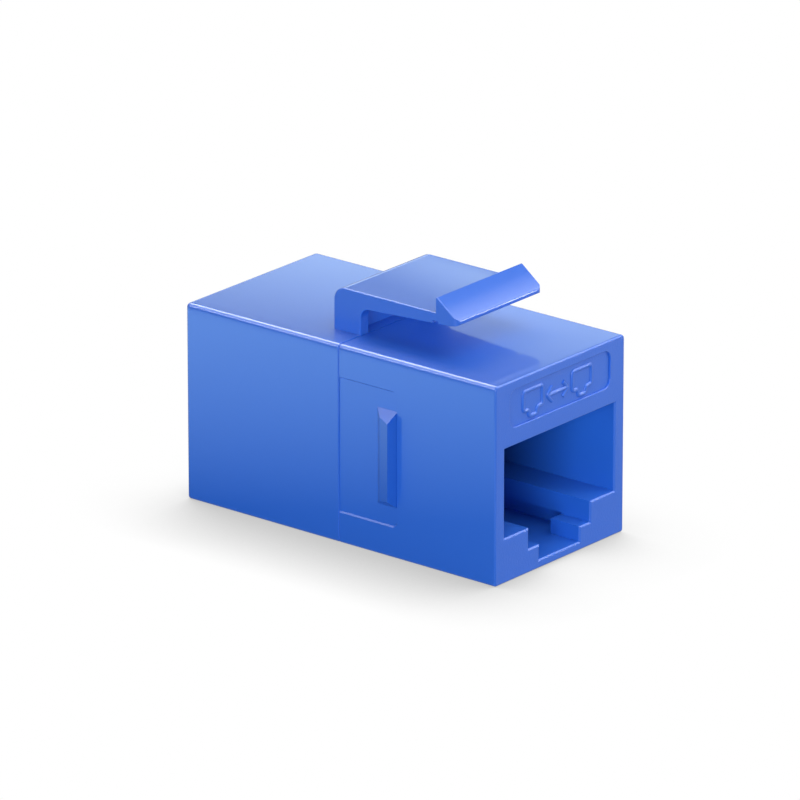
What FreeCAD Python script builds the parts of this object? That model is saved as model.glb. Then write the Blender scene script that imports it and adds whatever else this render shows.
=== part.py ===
# Inline network coupler: two moulded halves that snap together round a small upright board,
# with an insulating carrier and eight spring contacts behind each port.
# Millimetres. X runs along the length with the front port at +X, Y across, Z up from the underside.
import FreeCAD, Part
from FreeCAD import Vector

import math
import os

# Outside of the body, each half as long as the other
BODY_WIDTH = 14.5
BODY_HEIGHT = 14.82
HALF_LENGTH = 14.15
EDGE_ROUND = 0.34
BOTTOM_EDGE_ROUND = 0.2
FRONT_FACE_ROUND = 0.14
SEAM_BREAK = 0.08

# Port: a wide opening for the plug over a slot in two steps for the plug's latch. The wall beside it
# gives its width, and the roof over the chamber behind it carries the height of its ceiling.
SIDE_WALL = 1.06
PORT_FLOOR = 3.34
ROOF_THICKNESS = 2.49
PLUG_DEPTH = 11.75
SLOT_WIDTH = 6.95
SLOT_FLOOR = 1.78
KEY_WIDTH = 4.55
KEY_FLOOR = 0.64
MOUTH_ROUND = 0.16

# Ledges that the plug's latch catches behind, and the undercut pocket behind them
LEDGE_LENGTH = 2.62
POCKET_LENGTH = 6.4
POCKET_WIDTH = 8.6
POCKET_TOP = 1.9

# Label plate, sunk into the front face above the port
PLATE_WIDTH = 11.3
PLATE_MARGIN = 0.72
PLATE_HEIGHT = 2.8
PLATE_CORNER = 0.7
PLATE_DEPTH = 0.15
RIM_ROUND = 0.05

# Finger pad, sunk into each side of the front half from the seam on
PAD_LENGTH = 5.3
PAD_BOTTOM = 2.27
PAD_HEIGHT = 10.18
PAD_CORNER = 0.45
PAD_DEPTH = 0.12
PAD_DRAFT = 0.1

# Hipped ridge that stands on each pad and stops the coupler in a panel opening
RIDGE_LENGTH = 1.8
RIDGE_SETBACK = 0.05
RIDGE_BOTTOM = 3.75
RIDGE_HEIGHT = 7.2
RIDGE_PROUD = 0.8
RIDGE_FRONT_RUN = 0.17
RIDGE_LEAD_RUN = 0.69
RIDGE_LEAD_RISE = 0.61
RIDGE_HIP = 0.7

# Latch on the rear half: a post, a springy arm over the front half and a catch at its end
LATCH_WIDTH = 9.6
POST_LENGTH = 2.45
POST_ROUND = 1.0
POST_RIB = 0.85
POST_HOLLOW = 1.0
ARM_RISE = 3.2
ARM_THICKNESS = 1.22
ARM_TAPER = 0.47
ARM_ROOT_ROUND = 0.75
CATCH_REACH = 6.75
CATCH_RISE = 1.23
CATCH_LENGTH = 1.93
CATCH_ROUND = 0.1
NOSE_DROP = 0.26
NOSE_THICKNESS = 0.36
NOSE_SLOPE_LENGTH = 0.68
NOSE_ROUND = 0.26
NOSE_UNDER_ROUND = 0.12
TAB_CORNER = 0.45
LATCH_EDGE_ROUND = 0.09
RELIEF_WIDTH = 0.5
RELIEF_DEPTH = 0.15

# Snap arms on the rear half and the pockets for them in the front half
SNAP_SPREAD = 8.8
SNAP_WIDTH = 2.0
SNAP_THICKNESS = 0.8
SNAP_LENGTH = 3.6
SNAP_COVER = 1.0
BARB_LENGTH = 1.1
BARB_RISE = 0.3
SNAP_FLEX = 0.35
SNAP_ROOT = 1.0

# Board at the seam, and the shoulders in the chamber that the carriers bear on
BOARD_THICKNESS = 1.2
SHOULDER = 0.3
TAIL_HOLE = 0.64
TAIL_HOLE_SIDES = 8

# Contact carrier: a back plate, a tongue over the port and a comb that spaces the contacts' ends
TONGUE_WIDTH = 10.4
TONGUE_LIFT = 0.33
TONGUE_THICKNESS = 2.0
TONGUE_LENGTH = 11.0
COMB_LENGTH = 4.2
COMB_DROP = 3.85
GROOVE_DEPTH = 1.2
TAIL_RELIEF = 0.4

# Spring contacts: a flat wire that runs along the tongue and folds back into the port
CONTACT_COUNT = 8
CONTACT_PITCH = 1.02
CONTACT_WIDTH = 0.45
CONTACT_THICKNESS = 0.3
FOLD_BEND = 0.45
FOLD_LIFT = 0.25
REST_DROP = 3.4
TIP_SETBACK = 0.6
TIP_LENGTH = 1.6
TIP_BEND = 0.8
JOG_INSET = 0.9
JOG_BEND = 0.35
ROW_GAP = 2.0
TAIL_PROUD = 0.25

# Clearances between pieces that fit
FIT = 0.05
SLOT_FIT = 0.1
FOLD_ROOM = 0.35

# How far a cutting solid runs past the surface that it opens
PAST = 1.0
TOUCH = 0.001

PORT_WIDTH = BODY_WIDTH - 2 * SIDE_WALL
CHAMBER_TOP = BODY_HEIGHT - ROOF_THICKNESS
TONGUE_TOP = CHAMBER_TOP - FIT
TONGUE_BOTTOM = TONGUE_TOP - TONGUE_THICKNESS
PORT_CEILING = TONGUE_BOTTOM - TONGUE_LIFT
STOP_X = HALF_LENGTH - PLUG_DEPTH
BOARD_FACE = BOARD_THICKNESS / 2
CHAMBER_HALF = PORT_WIDTH / 2 + SHOULDER
TONGUE_END = BOARD_FACE + TONGUE_LENGTH
COMB_END = STOP_X + COMB_LENGTH
RUN_Z = TONGUE_TOP - GROOVE_DEPTH + CONTACT_THICKNESS / 2
LOW_ROW_Z = RUN_Z - ROW_GAP
FOLD_X = TONGUE_END + FOLD_BEND
REST_Z = PORT_CEILING - REST_DROP
JOG_X = BOARD_FACE + JOG_INSET
ARM_TOP = BODY_HEIGHT + ARM_RISE
SIDE = BODY_WIDTH / 2


def block(low, high):
    """Box between two opposite corners, each (x, y, z)."""
    size = Vector(*high) - Vector(*low)
    return Part.makeBox(size.x, size.y, size.z, Vector(*low))


def edges_on(shape, x=None, y=None, z=None):
    """Edges that lie wholly in each plane that is given."""
    def inside(edge):
        box = edge.BoundBox
        spans = ((x, box.XMin, box.XMax), (y, box.YMin, box.YMax), (z, box.ZMin, box.ZMax))
        return all(abs(low - at) < TOUCH and abs(high - at) < TOUCH
                   for at, low, high in spans if at is not None)
    return [edge for edge in shape.Edges if inside(edge)]


def outline(corners):
    """Face inside a closed outline of (point, radius) corners, where a radius of 0 leaves a sharp one."""
    bends = []
    for index, (point, radius) in enumerate(corners):
        back = (corners[index - 1][0] - point).normalize()
        ahead = (corners[(index + 1) % len(corners)][0] - point).normalize()
        half = back.getAngle(ahead) / 2
        reach = radius / math.tan(half)
        middle = point + (back + ahead).normalize() * (radius / math.sin(half) - radius)
        bends.append((point + back * reach, middle, point + ahead * reach, radius))
    edges = []
    for index, (start, middle, end, radius) in enumerate(bends):
        if radius > 0:
            edges.append(Part.Arc(start, middle, end).toShape())
        following = bends[(index + 1) % len(bends)][0]
        if end.distanceToPoint(following) > TOUCH:
            edges.append(Part.LineSegment(end, following).toShape())
    return Part.Face(Part.Wire(edges))


def in_xz(corners, y):
    """Corners given as (x, z, radius), set in the upright plane along the length at y."""
    return [(Vector(x, y, z), radius) for x, z, radius in corners]


def in_yz(corners, x):
    """Corners given as (y, z, radius), set in the plane across the length at x."""
    return [(Vector(x, y, z), radius) for y, z, radius in corners]


def rectangle(low, high, radius):
    """Corners of a rectangle between two (u, v) corners, all four of one radius."""
    return [(low[0], low[1], radius), (high[0], low[1], radius),
            (high[0], high[1], radius), (low[0], high[1], radius)]


def front_block():
    """Outer form of the front half: its long edges are rounder than the edge of its face."""
    half = block((0, -SIDE, 0), (HALF_LENGTH, SIDE, BODY_HEIGHT))
    top = edges_on(half, y=-SIDE, z=BODY_HEIGHT) + edges_on(half, y=SIDE, z=BODY_HEIGHT)
    half = half.makeFillet(EDGE_ROUND, top)
    bottom = edges_on(half, y=-SIDE, z=0) + edges_on(half, y=SIDE, z=0)
    half = half.makeFillet(BOTTOM_EDGE_ROUND, bottom)
    half = half.makeFillet(FRONT_FACE_ROUND, edges_on(half, x=HALF_LENGTH))
    return half.makeChamfer(SEAM_BREAK, edges_on(half, x=0))


def rear_block():
    """Outer form of the rear half, built toward +X: its end is as round as its long edges."""
    half = block((0, -SIDE, 0), (HALF_LENGTH, SIDE, BODY_HEIGHT))
    round_edges = edges_on(half, z=BODY_HEIGHT, y=-SIDE) + edges_on(half, z=BODY_HEIGHT, y=SIDE)
    round_edges += edges_on(half, z=BODY_HEIGHT, x=HALF_LENGTH)
    round_edges += edges_on(half, x=HALF_LENGTH, y=-SIDE) + edges_on(half, x=HALF_LENGTH, y=SIDE)
    half = half.makeFillet(EDGE_ROUND, round_edges)
    bottom = [edge for edge in edges_on(half, z=0) if edge.BoundBox.XMax > TOUCH]
    half = half.makeFillet(BOTTOM_EDGE_ROUND, bottom)
    return half.makeChamfer(SEAM_BREAK, edges_on(half, x=0))


def mouth_corners():
    """Port's outline as (y, z, radius): the plug's opening with the stepped latch slot below."""
    right = [(KEY_WIDTH / 2, KEY_FLOOR), (KEY_WIDTH / 2, SLOT_FLOOR),
             (SLOT_WIDTH / 2, SLOT_FLOOR), (SLOT_WIDTH / 2, PORT_FLOOR),
             (PORT_WIDTH / 2, PORT_FLOOR), (PORT_WIDTH / 2, PORT_CEILING)]
    left = [(-y, z) for y, z in reversed(right)]
    return [(y, z, 0) for y, z in right + left]


def cut_port(half):
    """Cut the port, its undercut latch pocket and the chamber for the carrier and the board."""
    ledge_back = HALF_LENGTH - LEDGE_LENGTH
    mouth = outline(in_yz(mouth_corners(), ledge_back)).extrude(Vector(LEDGE_LENGTH + PAST, 0, 0))
    half = half.cut(mouth)
    rim = [edge for edge in edges_on(half, x=HALF_LENGTH)
           if max(abs(edge.BoundBox.YMin), abs(edge.BoundBox.YMax)) <= PORT_WIDTH / 2 + TOUCH
           and edge.BoundBox.ZMin >= KEY_FLOOR - TOUCH and edge.BoundBox.ZMax <= PORT_CEILING + TOUCH]
    half = half.makeFillet(MOUTH_ROUND, rim)
    pocket_back = ledge_back - POCKET_LENGTH
    cavity = block((-PAST, -PORT_WIDTH / 2, PORT_FLOOR), (ledge_back, PORT_WIDTH / 2, PORT_CEILING))
    slot = block((pocket_back, -SLOT_WIDTH / 2, KEY_FLOOR), (ledge_back, SLOT_WIDTH / 2, PORT_CEILING))
    pocket = block((pocket_back, -POCKET_WIDTH / 2, KEY_FLOOR), (ledge_back, POCKET_WIDTH / 2, POCKET_TOP))
    chamber = block((-PAST, -CHAMBER_HALF, PORT_FLOOR), (STOP_X, CHAMBER_HALF, CHAMBER_TOP))
    channel_end = FOLD_X + CONTACT_THICKNESS / 2 + FOLD_ROOM
    channel_half = TONGUE_WIDTH / 2 + FIT
    channel = block((-PAST, -channel_half, PORT_CEILING), (channel_end, channel_half, CHAMBER_TOP))
    return half.cut([cavity, slot, pocket, chamber, channel])


def plate_recess():
    """Shallow recess for the label plate in the front face."""
    top = BODY_HEIGHT - PLATE_MARGIN
    low = (-PLATE_WIDTH / 2, top - PLATE_HEIGHT)
    high = (PLATE_WIDTH / 2, top)
    floor = outline(in_yz(rectangle(low, high, PLATE_CORNER), HALF_LENGTH - PLATE_DEPTH))
    return floor.extrude(Vector(PLATE_DEPTH + PAST, 0, 0))


def pad_recess():
    """Recess of the finger pad on the -Y side, its rim sloped all round."""
    def rim(inset, y):
        low = (-PAST, PAD_BOTTOM + inset)
        high = (PAD_LENGTH - inset, PAD_BOTTOM + PAD_HEIGHT - inset)
        return outline(in_xz(rectangle(low, high, PAD_CORNER - inset), y)).OuterWire
    return Part.makeLoft([rim(0, -SIDE), rim(PAD_DRAFT, -SIDE + PAD_DEPTH)], True)


def plate_rim(half):
    """Edges where the label plate's recess meets the front face."""
    bottom = BODY_HEIGHT - PLATE_MARGIN - PLATE_HEIGHT
    return [edge for edge in edges_on(half, x=HALF_LENGTH)
            if edge.BoundBox.ZMin > bottom - TOUCH
            and max(abs(edge.BoundBox.YMin), abs(edge.BoundBox.YMax)) < PLATE_WIDTH / 2 + TOUCH]


def side_ridge():
    """Hipped ridge on the -Y pad: a lead-in and a gentle slope from the seam's side, then a steep front."""
    front = PAD_LENGTH - RIDGE_SETBACK
    rear = front - RIDGE_LENGTH
    foot = -SIDE + PAD_DEPTH
    top = RIDGE_BOTTOM + RIDGE_HEIGHT
    proud = RIDGE_PROUD + PAD_DEPTH
    # Across the ridge: how far along each line lies and how far it stands out from the pad
    across = [(rear, 0), (rear + RIDGE_LEAD_RUN, RIDGE_LEAD_RISE), (front - RIDGE_FRONT_RUN, proud), (front, 0)]
    low = [Vector(x, foot - out, RIDGE_BOTTOM + RIDGE_HIP * out / proud) for x, out in across]
    high = [Vector(x, foot - out, top - RIDGE_HIP * out / proud) for x, out in across]
    sides = [low, high]
    for number in range(len(across)):
        sides.append([low[number - 1], low[number], high[number], high[number - 1]])
    faces = [Part.Face(Part.makePolygon(points + points[:1])) for points in sides]
    ridge = Part.Solid(Part.Shell(faces))
    if ridge.Volume < 0:
        ridge.reverse()
    return ridge


def mirrored(shape):
    """The same shape on the other side of the length's upright middle plane."""
    return shape.mirror(Vector(0, 0, 0), Vector(0, 1, 0))


def upside_down(shape):
    """The same shape reflected about the body's middle height."""
    return shape.mirror(Vector(0, 0, BODY_HEIGHT / 2), Vector(0, 0, 1))


def at_four_corners(upper_right):
    """An upper snap feature of the +Y side, with its copies at the other three corners."""
    upper = [upper_right, mirrored(upper_right)]
    return upper + [upside_down(shape) for shape in upper]


def snap_arm():
    """Hooked arm at the upper +Y corner: it reaches from the rear half into the front half."""
    top = BODY_HEIGHT - SNAP_COVER
    barb = SNAP_LENGTH - BARB_LENGTH
    corners = [(-SNAP_ROOT, top - SNAP_THICKNESS, 0),
               (SNAP_LENGTH, top - SNAP_THICKNESS, 0),
               (SNAP_LENGTH, top, 0),
               (barb + BARB_LENGTH / 4, top + BARB_RISE, 0),
               (barb, top + BARB_RISE, 0),
               (barb, top, 0),
               (-SNAP_ROOT, top, 0)]
    near = SNAP_SPREAD / 2 - SNAP_WIDTH / 2
    return outline(in_xz(corners, near)).extrude(Vector(0, SNAP_WIDTH, 0))


def snap_pocket():
    """Pocket for the upper +Y arm, with room to bend and a shoulder that its barb catches behind."""
    top = BODY_HEIGHT - SNAP_COVER
    near = SNAP_SPREAD / 2 - SNAP_WIDTH / 2 - FIT
    far = SNAP_SPREAD / 2 + SNAP_WIDTH / 2 + FIT
    floor = top - SNAP_THICKNESS - SNAP_FLEX
    end = SNAP_LENGTH + SLOT_FIT
    shoulder = SNAP_LENGTH - BARB_LENGTH - FIT
    throat = block((-PAST, near, floor), (end, far, top + FIT))
    catch = block((shoulder, near, floor), (end, far, top + BARB_RISE + FIT))
    return throat.fuse(catch)


def front_housing():
    half = cut_port(front_block())
    pads = [pad_recess(), mirrored(pad_recess())]
    half = half.cut(pads + [plate_recess()])
    half = half.makeFillet(RIM_ROUND, plate_rim(half))
    half = half.cut(at_four_corners(snap_pocket()))
    return half.fuse([side_ridge(), mirrored(side_ridge())]).removeSplitter()


def latch():
    """Bent latch over the front half: post, arm and wedge-shaped catch, with its corners eased."""
    half_width = LATCH_WIDTH / 2
    foot = BODY_HEIGHT - BOTTOM_EDGE_ROUND
    nose_x = CATCH_REACH + CATCH_LENGTH
    nose_top = ARM_TOP - NOSE_DROP
    root = ARM_TOP - ARM_THICKNESS
    profile = [(-POST_LENGTH, foot, 0),
               (-POST_LENGTH, ARM_TOP, POST_ROUND),
               (CATCH_REACH, ARM_TOP, 0),
               (CATCH_REACH, ARM_TOP + CATCH_RISE, CATCH_ROUND),
               (nose_x, nose_top, NOSE_ROUND),
               (nose_x, nose_top - NOSE_THICKNESS, NOSE_UNDER_ROUND),
               (nose_x - NOSE_SLOPE_LENGTH, root + ARM_TAPER, 0),
               (0, root, ARM_ROOT_ROUND),
               (0, foot, 0)]
    plan = [(Vector(-POST_LENGTH, -half_width, foot), 0), (Vector(nose_x, -half_width, foot), TAB_CORNER),
            (Vector(nose_x, half_width, foot), TAB_CORNER), (Vector(-POST_LENGTH, half_width, foot), 0)]
    bent = outline(in_xz(profile, -half_width)).extrude(Vector(0, LATCH_WIDTH, 0))
    rims = edges_on(bent, y=-half_width) + edges_on(bent, y=half_width)
    rims = [edge for edge in rims if edge.BoundBox.ZMax > foot + TOUCH]
    bent = bent.makeFillet(LATCH_EDGE_ROUND, rims)
    bent = bent.common(outline(plan).extrude(Vector(0, 0, ARM_RISE + CATCH_RISE + PAST)))
    inside = half_width - POST_RIB
    hollow = block((-POST_HOLLOW, -inside, BODY_HEIGHT), (ARM_ROOT_ROUND, inside, root))
    relief_x = CATCH_REACH - RELIEF_WIDTH / 2
    relief_top = root + ARM_TAPER + RELIEF_DEPTH
    relief = block((relief_x, -SIDE, root), (relief_x + RELIEF_WIDTH, SIDE, relief_top))
    return bent.cut([hollow, relief])


def turned(shape):
    """The same shape turned half round about the upright axis, for the rear port."""
    return shape.copy().rotate(Vector(0, 0, 0), Vector(0, 0, 1), 180)


def rear_housing():
    half = turned(cut_port(rear_block()))
    return half.fuse([latch()] + at_four_corners(snap_arm())).removeSplitter()


def contact_places():
    """Each contact's place across the port with the height of the row that its tail is in."""
    first = -(CONTACT_COUNT - 1) / 2 * CONTACT_PITCH
    return [(first + number * CONTACT_PITCH, LOW_ROW_Z if number % 2 else RUN_Z)
            for number in range(CONTACT_COUNT)]


def bent_strip(path, thickness):
    """Corners of the outline of a strip bent along a path of (x, z, radius of its middle line)."""
    near, far = [], []
    for index, (x, z, radius) in enumerate(path):
        point = Vector(x, 0, z)
        into = point - Vector(path[index - 1][0], 0, path[index - 1][1]) if index else None
        out = None
        if index + 1 < len(path):
            out = Vector(path[index + 1][0], 0, path[index + 1][1]) - point
        into = (into or out).normalize()
        out = (out or into).normalize()
        side_in = Vector(-into.z, 0, into.x)
        side_out = Vector(-out.z, 0, out.x)
        miter = (side_in + side_out) * (thickness / 2 / (1 + side_in.dot(side_out)))
        turn = into.x * out.z - into.z * out.x
        shift = math.copysign(thickness / 2, turn) if radius else 0
        near.append((x + miter.x, z + miter.z, radius - shift))
        far.append((x - miter.x, z - miter.z, radius + shift))
    return near + far[::-1]


def contact(y, row_z):
    """Spring contact of the front port: tail, run along the tongue, fold at its end, slope and tip."""
    path = [(-BOARD_FACE - TAIL_PROUD, row_z, 0)]
    if row_z != RUN_Z:
        path += [(JOG_X, row_z, JOG_BEND), (JOG_X, RUN_Z, JOG_BEND)]
    tip_x = COMB_END - TIP_SETBACK
    path += [(FOLD_X, RUN_Z, FOLD_BEND),
             (FOLD_X, PORT_CEILING + FOLD_LIFT, FOLD_BEND),
             (tip_x, REST_Z, TIP_BEND),
             (tip_x - TIP_LENGTH, REST_Z, 0)]
    side_on = outline(in_xz(bent_strip(path, CONTACT_THICKNESS), y - CONTACT_WIDTH / 2))
    return side_on.extrude(Vector(0, CONTACT_WIDTH, 0))


def circuit_board():
    """Upright board that both contact sets' tails pass through, each hole drawn with few flat sides."""
    half_width = CHAMBER_HALF - FIT
    board = block((-BOARD_FACE, -half_width, PORT_FLOOR), (BOARD_FACE, half_width, TONGUE_TOP))
    corner = TAIL_HOLE / 2 / math.cos(math.pi / TAIL_HOLE_SIDES)
    holes = []
    for y, row_z in contact_places():
        for side in (y, -y):
            rim = []
            for number in range(TAIL_HOLE_SIDES):
                angle = (number + 0.5) * 2 * math.pi / TAIL_HOLE_SIDES
                rim.append((side + corner * math.cos(angle), row_z + corner * math.sin(angle), 0))
            way = outline(in_yz(rim, -BOARD_FACE - PAST))
            holes.append(way.extrude(Vector(BOARD_THICKNESS + 2 * PAST, 0, 0)))
    return board.cut(holes)


def contact_carrier():
    """Insulator of the front port: back plate, tongue with a groove for each contact, and comb."""
    half_width = CHAMBER_HALF - FIT
    tongue_half = TONGUE_WIDTH / 2
    plate = block((BOARD_FACE, -half_width, PORT_FLOOR), (STOP_X, half_width, TONGUE_TOP))
    tongue = block((BOARD_FACE, -tongue_half, TONGUE_BOTTOM), (TONGUE_END, tongue_half, TONGUE_TOP))
    rib_half = (CONTACT_PITCH - CONTACT_WIDTH) / 2 - SLOT_FIT
    ribs = []
    grooves = []
    groove_half = CONTACT_WIDTH / 2 + FIT
    groove_floor = TONGUE_TOP - GROOVE_DEPTH
    first = contact_places()[0][0]
    for number in range(CONTACT_COUNT + 1):
        y = first + (number - 0.5) * CONTACT_PITCH
        ribs.append(block((STOP_X - FIT, y - rib_half, TONGUE_BOTTOM - COMB_DROP - FIT),
                          (COMB_END, y + rib_half, TONGUE_BOTTOM + FIT)))
    for y, row_z in contact_places():
        way = [(BOARD_FACE, TONGUE_TOP + PAST, 0), (BOARD_FACE, row_z - CONTACT_THICKNESS / 2, 0)]
        if row_z != RUN_Z:
            wall_x = JOG_X + CONTACT_THICKNESS / 2
            way += [(wall_x, row_z - CONTACT_THICKNESS / 2, 0), (wall_x, groove_floor, JOG_BEND)]
        way += [(TONGUE_END + PAST, groove_floor, 0), (TONGUE_END + PAST, TONGUE_TOP + PAST, 0)]
        side_on = outline(in_xz(way, y - groove_half))
        grooves.append(side_on.extrude(Vector(0, 2 * groove_half, 0)))
    relief_half = -first + CONTACT_PITCH / 2
    relief = block((BOARD_FACE, -relief_half, LOW_ROW_Z - TAIL_HOLE),
                   (BOARD_FACE + TAIL_RELIEF, relief_half, TONGUE_TOP + PAST))
    return plate.fuse([tongue] + ribs).cut(grooves + [relief]).removeSplitter()


def main():
    nodes = {"front_housing": front_housing(),
             "rear_housing": rear_housing(),
             "circuit_board": circuit_board(),
             "front_contact_carrier": contact_carrier(),
             "rear_contact_carrier": turned(contact_carrier())}
    for number, (y, row_z) in enumerate(contact_places(), start=1):
        nodes[f"front_contact_{number}"] = contact(y, row_z)
        nodes[f"rear_contact_{number}"] = turned(contact(y, row_z))
    os.makedirs("parts", exist_ok=True)
    for name, shape in nodes.items():
        shape.exportStep(f"parts/{name}.step")
        print(f"{name}: {shape.Volume:.2f} mm3, {len(shape.Solids)} solid, valid {shape.isValid()}")


main()
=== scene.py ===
import bpy
from mathutils import Matrix, Vector


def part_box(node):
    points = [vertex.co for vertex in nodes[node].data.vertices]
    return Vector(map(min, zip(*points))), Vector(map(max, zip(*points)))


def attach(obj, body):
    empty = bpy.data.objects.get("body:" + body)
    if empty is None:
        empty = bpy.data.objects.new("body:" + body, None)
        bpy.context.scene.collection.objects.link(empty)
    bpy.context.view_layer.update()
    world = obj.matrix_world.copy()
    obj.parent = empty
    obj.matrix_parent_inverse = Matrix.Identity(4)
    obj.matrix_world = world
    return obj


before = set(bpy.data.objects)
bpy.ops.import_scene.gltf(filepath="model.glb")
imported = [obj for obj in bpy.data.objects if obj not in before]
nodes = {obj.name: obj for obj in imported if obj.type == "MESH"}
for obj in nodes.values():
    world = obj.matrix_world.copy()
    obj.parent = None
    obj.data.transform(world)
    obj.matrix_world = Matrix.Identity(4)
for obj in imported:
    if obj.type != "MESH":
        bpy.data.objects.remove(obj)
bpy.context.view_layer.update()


def mm(value):
    """Millimetres to the scene's metres."""
    return value / 1000


def place(x, y, z):
    """A point given in millimetres."""
    return Vector((mm(x), mm(y), mm(z)))


# Front end's plane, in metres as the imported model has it. The rear end mirrors it.
FRONT_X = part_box("front_housing")[1].x

# Label plate, as the CAD part has it: its floor lies this far behind the front face
PLATE_DEPTH = 0.15

# Moulded skin. The grain fades in between two depths behind an end's plane.
WAVE_LENGTH = 4.0
WAVE_HEIGHT = 0.02
GRAIN_WIDTH = 0.14
GRAIN_HEIGHT = 0.02
GRAIN_STARTS = 0.3
GRAIN_IS_FULL = 0.16
POLISHED_ROUGHNESS = 0.05
GRAINED_ROUGHNESS = 0.35

# Raised mark on the label plate: two small port outlines with an arrow both ways between them
MARK_MIDDLE_Y = -0.2
MARK_MIDDLE_Z = 12.58
PORT_SIGN_REACH = 2.75
PORT_SIGN_WIDTH = 2.15
PORT_SIGN_HEIGHT = 1.95
PORT_SIGN_STEP = 0.5
PORT_SIGN_SLOT = 0.9
ARROW_REACH = 1.15
ARROW_HEAD = 0.55
BEAD_WIDTH = 0.34
BEAD_HEIGHT = 0.125
BEAD_SINK = 0.005
BEAD_BEND = 0.22

# Table top, a little under the part so that the two don't share a plane
TABLE_REACH = 3000
TABLE_DROP = 0.02

# Painted soft shadow on the table: how far the part still shades it, and the way toward most of the light
SHADOW_REACH = 9
SHADOW_WAY = {"X": -0.25, "Y": 0.45, "Z": 0.86}

# Camera: place and axes fitted to the straight edges of the photographed object
CAMERA_PLACE = (380.383, -465.024, 224.892)
CAMERA_RIGHT = (0.77374256, 0.63350016, 0.0)
CAMERA_UP = (-0.21452849, 0.26202017, 0.94091602)
CAMERA_FORWARD = (-0.59607045, 0.72802677, -0.33863999)
CAMERA_LENS_MM = 405
SENSOR_MM = 36
NEAREST_SEEN = 10
FARTHEST_SEEN = 10000


def linear(hex_colour):
    """sRGB hex colour to the linear values that a shader socket takes."""
    channels = [int(hex_colour[start:start + 2], 16) / 255 for start in (1, 3, 5)]
    return tuple(c / 12.92 if c <= 0.04045 else ((c + 0.055) / 1.055) ** 2.4 for c in channels) + (1.0,)


def add_node(tree, kind, values=None, links=None, **settings):
    """Add a node with its settings, its unlinked sockets' values and the links into its sockets."""
    node = tree.nodes.new(kind)
    for name, value in settings.items():
        setattr(node, name, value)
    for socket, value in (values or {}).items():
        node.inputs[socket].default_value = value
    for socket, source in (links or {}).items():
        tree.links.new(source, node.inputs[socket])
    return node


def new_material(name):
    """An empty node material with its output, ready for a surface."""
    material = bpy.data.materials.new(name)
    material.use_nodes = True
    material.node_tree.nodes.clear()
    output = add_node(material.node_tree, "ShaderNodeOutputMaterial")
    return material, material.node_tree, output


def moulded_abs():
    """ABS moulded blue: a polished tool leaves the long sides glossy, an eroded one grains both ends."""
    material, tree, output = new_material("blue_moulded_abs")
    place_on = add_node(tree, "ShaderNodeTexCoord")
    spot = add_node(tree, "ShaderNodeSeparateXYZ", links={"Vector": place_on.outputs["Object"]})
    facing = add_node(tree, "ShaderNodeSeparateXYZ", links={"Vector": place_on.outputs["Normal"]})
    # Grained: near the plane of an end, and turned toward it
    far_along = add_node(tree, "ShaderNodeMath", operation="ABSOLUTE", links={0: spot.outputs["X"]})
    at_end = add_node(tree, "ShaderNodeMapRange", links={"Value": far_along.outputs["Value"]},
                      values={"From Min": FRONT_X - mm(GRAIN_STARTS),
                              "From Max": FRONT_X - mm(GRAIN_IS_FULL)})
    turned_out = add_node(tree, "ShaderNodeMath", operation="ABSOLUTE", links={0: facing.outputs["X"]})
    flat_on = add_node(tree, "ShaderNodeMapRange", links={"Value": turned_out.outputs["Value"]},
                       values={"From Min": 0.8, "From Max": 0.98})
    grained = add_node(tree, "ShaderNodeMath", operation="MULTIPLY",
                       links={0: at_end.outputs["Result"], 1: flat_on.outputs["Result"]})
    # Spark-eroded grain, drawn about two pixels wide, which is coarser than the real one, so that it shows
    grain = add_node(tree, "ShaderNodeTexNoise", links={"Vector": place_on.outputs["Object"]},
                     values={"Scale": 1 / mm(GRAIN_WIDTH), "Detail": 2.0, "Roughness": 0.6})
    grain_height = add_node(tree, "ShaderNodeMath", operation="MULTIPLY",
                            links={0: grain.outputs["Fac"], 1: grained.outputs["Value"]})
    # Slow waves, from the shrinkage of thin walls over ribs
    waves = add_node(tree, "ShaderNodeTexNoise", links={"Vector": place_on.outputs["Object"]},
                     values={"Scale": 1 / mm(WAVE_LENGTH), "Detail": 1.0, "Roughness": 0.4})
    wavy = add_node(tree, "ShaderNodeBump", values={"Strength": 0.12, "Distance": mm(WAVE_HEIGHT)},
                    links={"Height": waves.outputs["Fac"]})
    grainy = add_node(tree, "ShaderNodeBump", values={"Strength": 0.6, "Distance": mm(GRAIN_HEIGHT)},
                      links={"Height": grain_height.outputs["Value"], "Normal": wavy.outputs["Normal"]})
    skin = add_node(tree, "ShaderNodeMapRange", links={"Value": grained.outputs["Value"]},
                    values={"To Min": POLISHED_ROUGHNESS, "To Max": GRAINED_ROUGHNESS})
    shader = add_node(tree, "ShaderNodeBsdfPrincipled",
                      values={"Base Color": linear("#1E60CB"), "Roughness": 0.5, "IOR": 1.4,
                              "Coat Weight": 0.7, "Coat IOR": 1.5},
                      links={"Normal": grainy.outputs["Normal"], "Coat Roughness": skin.outputs["Result"],
                             "Coat Normal": grainy.outputs["Normal"]})
    tree.links.new(shader.outputs["BSDF"], output.inputs["Surface"])
    return material


def plain_material(name, colour, roughness, metallic=0.0, ior=1.5):
    """One even finish, such as that of a small inner piece."""
    material, tree, output = new_material(name)
    shader = add_node(tree, "ShaderNodeBsdfPrincipled",
                      values={"Base Color": linear(colour), "Roughness": roughness,
                              "Metallic": metallic, "IOR": ior})
    tree.links.new(shader.outputs["BSDF"], output.inputs["Surface"])
    return material


ABS = moulded_abs()
# Black PBT: the carriers take little light and stay dull inside the ports
CARRIER = plain_material("black_moulded_pbt", "#1B1C1F", 0.45)
# Solder mask over laminate: an even, half glossy green
LAMINATE = plain_material("green_masked_laminate", "#1F6B3A", 0.4)
# Thin gold on bronze: warm glints along the springs
GOLD = plain_material("gold_plated_bronze", "#D9B25A", 0.25, metallic=1.0)

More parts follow.
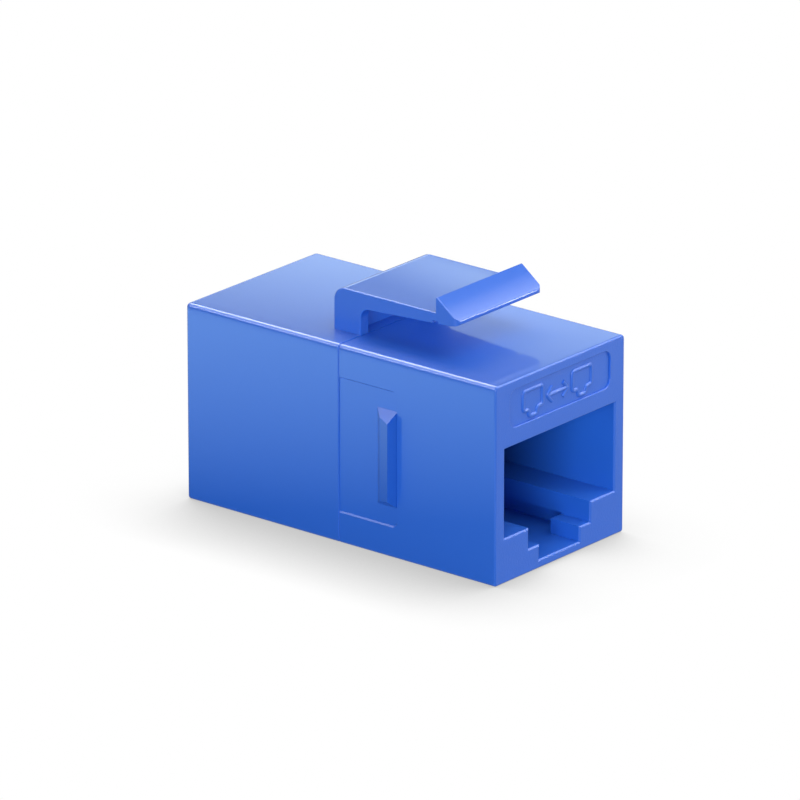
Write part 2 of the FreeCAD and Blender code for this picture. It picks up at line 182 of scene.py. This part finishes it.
FINISHES = {"housing": ABS, "carrier": CARRIER, "board": LAMINATE}
for name, node in nodes.items():
    node.data.materials.clear()
    node.data.materials.append(FINISHES.get(name.split("_")[-1], GOLD))


def group_tree(name, inputs):
    """A geometry node group with a geometry in and out, and a named input for each of its values."""
    tree = bpy.data.node_groups.new(name, "GeometryNodeTree")
    tree.interface.new_socket("Geometry", in_out="INPUT", socket_type="NodeSocketGeometry")
    tree.interface.new_socket("Geometry", in_out="OUTPUT", socket_type="NodeSocketGeometry")
    for label, kind in inputs.items():
        tree.interface.new_socket(label, in_out="INPUT", socket_type=kind)
    return tree, add_node(tree, "NodeGroupInput"), add_node(tree, "NodeGroupOutput")


def bead_tree():
    """Rounded bead laid along the edges of a flat drawing, squashed toward the plane that it lies in."""
    tree, entry, leave = group_tree("raised_bead", {
        "Width": "NodeSocketFloat", "Squash": "NodeSocketFloat", "Bend": "NodeSocketFloat",
        "Plane": "NodeSocketFloat", "Finish": "NodeSocketMaterial"})
    lines = add_node(tree, "GeometryNodeMeshToCurve", links={"Mesh": entry.outputs["Geometry"]})
    bent = add_node(tree, "GeometryNodeFilletCurve", values={"Count": 5, "Limit Radius": True}, mode="POLY",
                    links={"Curve": lines.outputs["Curve"], "Radius": entry.outputs["Bend"]})
    half_width = add_node(tree, "ShaderNodeMath", operation="MULTIPLY", values={1: 0.5},
                          links={0: entry.outputs["Width"]})
    ring = add_node(tree, "GeometryNodeCurvePrimitiveCircle", values={"Resolution": 16},
                    links={"Radius": half_width.outputs["Value"]})
    tube = add_node(tree, "GeometryNodeCurveToMesh", values={"Fill Caps": True},
                    links={"Curve": bent.outputs["Curve"], "Profile Curve": ring.outputs["Curve"]})
    squash = add_node(tree, "ShaderNodeCombineXYZ", values={"Y": 1.0, "Z": 1.0},
                      links={"X": entry.outputs["Squash"]})
    shift = add_node(tree, "ShaderNodeCombineXYZ", links={"X": entry.outputs["Plane"]})
    laid = add_node(tree, "GeometryNodeTransform",
                    links={"Geometry": tube.outputs["Mesh"], "Scale": squash.outputs["Vector"],
                           "Translation": shift.outputs["Vector"]})
    smooth = add_node(tree, "GeometryNodeSetShadeSmooth", links={"Geometry": laid.outputs["Geometry"]})
    real = add_node(tree, "GeometryNodeRealizeInstances", links={"Geometry": smooth.outputs["Geometry"]})
    dressed = add_node(tree, "GeometryNodeSetMaterial",
                       links={"Geometry": real.outputs["Geometry"], "Material": entry.outputs["Finish"]})
    tree.links.new(dressed.outputs["Geometry"], leave.inputs["Geometry"])
    return tree


def grown(name, drawing, tree, values):
    """Run a geometry node group on a drawing's mesh and keep the result as a plain mesh object."""
    seed = bpy.data.objects.new(name + "_drawing", drawing)
    bpy.context.scene.collection.objects.link(seed)
    modifier = seed.modifiers.new("grow", "NODES")
    modifier.node_group = tree
    for item in tree.interface.items_tree:
        if item.item_type == "SOCKET" and item.in_out == "INPUT" and item.name in values:
            modifier[item.identifier] = values[item.name]
    evaluated = seed.evaluated_get(bpy.context.evaluated_depsgraph_get())
    mesh = bpy.data.meshes.new_from_object(evaluated)
    bpy.data.objects.remove(seed)
    piece = bpy.data.objects.new(name, mesh)
    bpy.context.scene.collection.objects.link(piece)
    return piece


def path_lines(points, closes):
    """Lines from each point to the next, and from the last to the first where the path closes."""
    count = len(points)
    return [(number, (number + 1) % count) for number in range(count if closes else count - 1)]


def mark_paths():
    """The mark's paths, each a list of (y, z) points in millimetres and whether it closes."""
    half = PORT_SIGN_WIDTH / 2
    tall = PORT_SIGN_HEIGHT / 2
    slot = PORT_SIGN_SLOT / 2
    step = -tall + PORT_SIGN_STEP
    port = [(-half, tall), (half, tall), (half, step), (slot, step),
            (slot, -tall), (-slot, -tall), (-slot, step), (-half, step)]
    paths = [([(y + side * PORT_SIGN_REACH, z) for y, z in port], True) for side in (-1, 1)]
    paths.append(([(-ARROW_REACH, 0), (ARROW_REACH, 0)], False))
    for side in (-1, 1):
        back = side * (ARROW_REACH - ARROW_HEAD)
        paths.append(([(back, ARROW_HEAD), (side * ARROW_REACH, 0), (back, -ARROW_HEAD)], False))
    return paths


def label_mark():
    """The mark's paths as one drawing, made beads that stand on the plate's floor."""
    points = []
    lines = []
    for path, closes in mark_paths():
        first = len(points)
        points += [place(0, y + MARK_MIDDLE_Y, z + MARK_MIDDLE_Z) for y, z in path]
        lines += [(first + a, first + b) for a, b in path_lines(path, closes)]
    drawing = bpy.data.meshes.new("mark_lines")
    drawing.from_pydata(points, lines, [])
    mark = grown("label_mark", drawing, bead_tree(), {
        "Width": mm(BEAD_WIDTH), "Squash": 2 * BEAD_HEIGHT / BEAD_WIDTH, "Bend": mm(BEAD_BEND),
        "Plane": FRONT_X - mm(PLATE_DEPTH + BEAD_SINK), "Finish": ABS})
    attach(mark, "root")


label_mark()


def flat_piece(name, corners, material):
    """One flat four-cornered piece of the studio, with its corners in millimetres."""
    mesh = bpy.data.meshes.new(name)
    mesh.from_pydata([place(*corner) for corner in corners], [], [(0, 1, 2, 3)])
    mesh.materials.append(material)
    piece = bpy.data.objects.new(name, mesh)
    bpy.context.scene.collection.objects.link(piece)
    return piece


def lying(x_reach, y_reach, height):
    """Corners of a level piece, from its ends along X and along Y."""
    left, right = x_reach
    near, far = y_reach
    return [(left, near, height), (right, near, height), (right, far, height), (left, far, height)]


def standing(x_reach, across, z_reach):
    """Corners of an upright piece that runs along X, from its ends along X and along Z."""
    left, right = x_reach
    low, high = z_reach
    return [(left, across, low), (right, across, low), (right, across, high), (left, across, high)]


def white_paper():
    """Matt paper that the camera sees white, with a painted soft shadow where the part keeps the sky off
    it.
    """
    material, tree, output = new_material("white_paper")
    path = add_node(tree, "ShaderNodeLightPath")
    paper = add_node(tree, "ShaderNodeBsdfDiffuse", values={"Color": linear("#A8A8A8")})
    # A faint glow lifts what faces the table, such as the underside
    faint = add_node(tree, "ShaderNodeEmission", values={"Strength": 0.1})
    lit = add_node(tree, "ShaderNodeAddShader",
                   links={0: paper.outputs["BSDF"], 1: faint.outputs["Emission"]})
    # The camera sees no lit paper here but a glow, dimmed by occlusion into a painted soft shadow
    shadow_way = add_node(tree, "ShaderNodeCombineXYZ", values=SHADOW_WAY)
    open_sky = add_node(tree, "ShaderNodeAmbientOcclusion", samples=16,
                        values={"Distance": mm(SHADOW_REACH)},
                        links={"Normal": shadow_way.outputs["Vector"]})
    shade = add_node(tree, "ShaderNodeMapRange", links={"Value": open_sky.outputs["AO"]},
                     values={"From Min": 0.3, "From Max": 0.97, "To Min": 0.55, "To Max": 1.0})
    seen = add_node(tree, "ShaderNodeEmission", links={"Strength": shade.outputs["Result"]})
    top_side = add_node(tree, "ShaderNodeMixShader",
                        links={0: path.outputs["Is Camera Ray"], 1: lit.outputs["Shader"],
                               2: seen.outputs["Emission"]})
    # From below the table top is clear, so that the underside can be looked at
    side = add_node(tree, "ShaderNodeNewGeometry")
    clear = add_node(tree, "ShaderNodeBsdfTransparent")
    shader = add_node(tree, "ShaderNodeMixShader",
                      links={0: side.outputs["Backfacing"], 1: top_side.outputs["Shader"],
                             2: clear.outputs["BSDF"]})
    tree.links.new(shader.outputs["Shader"], output.inputs["Surface"])
    return material


def floor():
    """Table top that carries the painted soft shadow and runs out of sight."""
    reach = (-TABLE_REACH, TABLE_REACH)
    flat_piece("floor", lying(reach, reach, -TABLE_DROP), white_paper())


def studio_world():
    """Even pale surroundings: white where the camera sees them, softer in a gloss and as a light."""
    world = bpy.data.worlds.new("studio")
    bpy.context.scene.world = world
    world.use_nodes = True
    tree = world.node_tree
    tree.nodes.clear()
    path = add_node(tree, "ShaderNodeLightPath")
    level = add_node(tree, "ShaderNodeMapRange", links={"Value": path.outputs["Is Glossy Ray"]},
                     values={"To Min": 0.35, "To Max": 0.6})
    seen = add_node(tree, "ShaderNodeMath", operation="MAXIMUM",
                    links={0: path.outputs["Is Camera Ray"], 1: level.outputs["Result"]})
    light = add_node(tree, "ShaderNodeBackground", values={"Color": (1.0, 1.0, 1.0, 1.0)},
                     links={"Strength": seen.outputs["Value"]})
    output = add_node(tree, "ShaderNodeOutputWorld")
    tree.links.new(light.outputs["Background"], output.inputs["Surface"])


def softbox(name, at, aim, width, height, power, in_gloss=True):
    """An oblong lamp at a place in millimetres, aimed at another. A gloss may mirror it or not."""
    lamp = bpy.data.lights.new(name, "AREA")
    lamp.shape = "RECTANGLE"
    lamp.size = mm(width)
    lamp.size_y = mm(height)
    lamp.energy = power
    holder = bpy.data.objects.new(name, lamp)
    holder.location = place(*at)
    holder.rotation_euler = (place(*aim) - place(*at)).to_track_quat("-Z", "Y").to_euler()
    holder.visible_camera = False
    holder.visible_glossy = in_gloss
    bpy.context.scene.collection.objects.link(holder)


def card_glow(name, glow, colour, way, marks):
    """A card's light, which goes from the first strength of glow at the first mark to the second at the
    second. A mark is a distance in millimetres along the way."""
    material, tree, output = new_material(name)
    place_on = add_node(tree, "ShaderNodeTexCoord")
    along = add_node(tree, "ShaderNodeVectorMath", operation="DOT_PRODUCT", values={1: way},
                     links={0: place_on.outputs["Object"]})
    graded = add_node(tree, "ShaderNodeMapRange", links={"Value": along.outputs["Value"]},
                      values={"From Min": mm(marks[0]), "From Max": mm(marks[1]),
                              "To Min": glow[0], "To Max": glow[1]})
    light = add_node(tree, "ShaderNodeEmission", values={"Color": linear(colour)},
                     links={"Strength": graded.outputs["Result"]})
    tree.links.new(light.outputs["Emission"], output.inputs["Surface"])
    return material


def glow_card(name, corners, glow, colour="#FFFFFF", way=(0, 1, 0), marks=(0, 100)):
    """A card that only a gloss sees: it draws one highlight or fade and lights nothing else. A card with
    the same strength twice is even, whatever its way and marks."""
    card = flat_piece(name, corners, card_glow(name, glow, colour, way, marks))
    card.visible_camera = False
    card.visible_diffuse = False
    card.visible_shadow = False
    card.visible_transmission = False


def lamps():
    """Broad lamps for the whole part, and two small ones for the hollows that they don't reach."""
    softbox("overhead", at=(110, 40, 300), aim=(5, 0, 7), width=260, height=260, power=0.6)
    softbox("side_box", at=(140, 160, 50), aim=(5, 0, 9), width=100, height=100, power=0.13, in_gloss=False)
    softbox("front_box", at=(145, -263, 44), aim=(5, 0, 7), width=120, height=120, power=0.61)
    softbox("port_fill", at=(11.6, 1, 9.7), aim=(11.6, 1, 0), width=4, height=8, power=0.00011,
            in_gloss=False)
    softbox("latch_fill", at=(4.1, 0, 16.4), aim=(4.1, 0, 0), width=8.6, height=8, power=0.0001,
            in_gloss=False)


def cards():
    """Cards that the glossy skin mirrors. Each stands where the mirrored rays of one face or edge end."""
    # The top face's fade from pale at its far edge to deep at its near one, and the same on the latch's arm
    glow_card("back_card", standing((-150, 40), 65.5, (30, 120)), glow=(0.1, 2.4), colour="#E0F9FF",
              way=(-0.018, 0, -0.29), marks=(-13.076, -10.776))
    glow_card("arm_card", standing((-58.5, -44), 65, (44.8, 54)), glow=(0.4, 2.3), colour="#E0F9FF",
              way=(0.05, 0, -0.46), marks=(-24.888, -22.988))
    # A soft sheen over all that faces up, and the fade of the catch's ramp, brighter toward its nose
    glow_card("high_card", lying((-110, 20), (20, 130), 125), glow=(6.0, 6.0))
    glow_card("latch_card", lying((9, 60), (-10, 60), 42), glow=(0.0, 4.7),
              way=(1, 0, 0), marks=(13.35, 15.4))
    # The long near edge's highlight, with a darker line between two bright ones
    glow_card("near_high", lying((-70, -10), (-3, 18), 60), glow=(14.0, 14.0))
    glow_card("near_middle", lying((-75, -10), (-62, -3), 60), glow=(3.0, 3.0))
    glow_card("near_low", standing((-70, -25), -62, (47, 60)), glow=(16.0, 16.0))
    # The light line along the catch's nose and along the front's edges
    glow_card("nose_card", standing((70, 87), 72, (6, 27)), glow=(20.0, 20.0))
    # The near side's fade from pale at its top to deep at its foot
    glow_card("foot_card", lying((-80, 20), (-38.5, -7.4), 0.1), glow=(0.0, 4.0), colour="#BCE7FF",
              way=(-0.44, -0.9, 0), marks=(12, 49.3))


def camera():
    """A long lens at the photograph's viewing angle."""
    view = bpy.data.cameras.new("camera")
    view.lens = CAMERA_LENS_MM
    view.sensor_width = SENSOR_MM
    view.clip_start = mm(NEAREST_SEEN)
    view.clip_end = mm(FARTHEST_SEEN)
    holder = bpy.data.objects.new("camera", view)
    turn = Matrix((CAMERA_RIGHT, CAMERA_UP, [-c for c in CAMERA_FORWARD])).transposed()
    holder.matrix_world = Matrix.Translation(place(*CAMERA_PLACE)) @ turn.to_4x4()
    bpy.context.scene.collection.objects.link(holder)
    bpy.context.scene.camera = holder


floor()
studio_world()
lamps()
cards()
camera()
bpy.context.scene.view_settings.view_transform = "Standard"
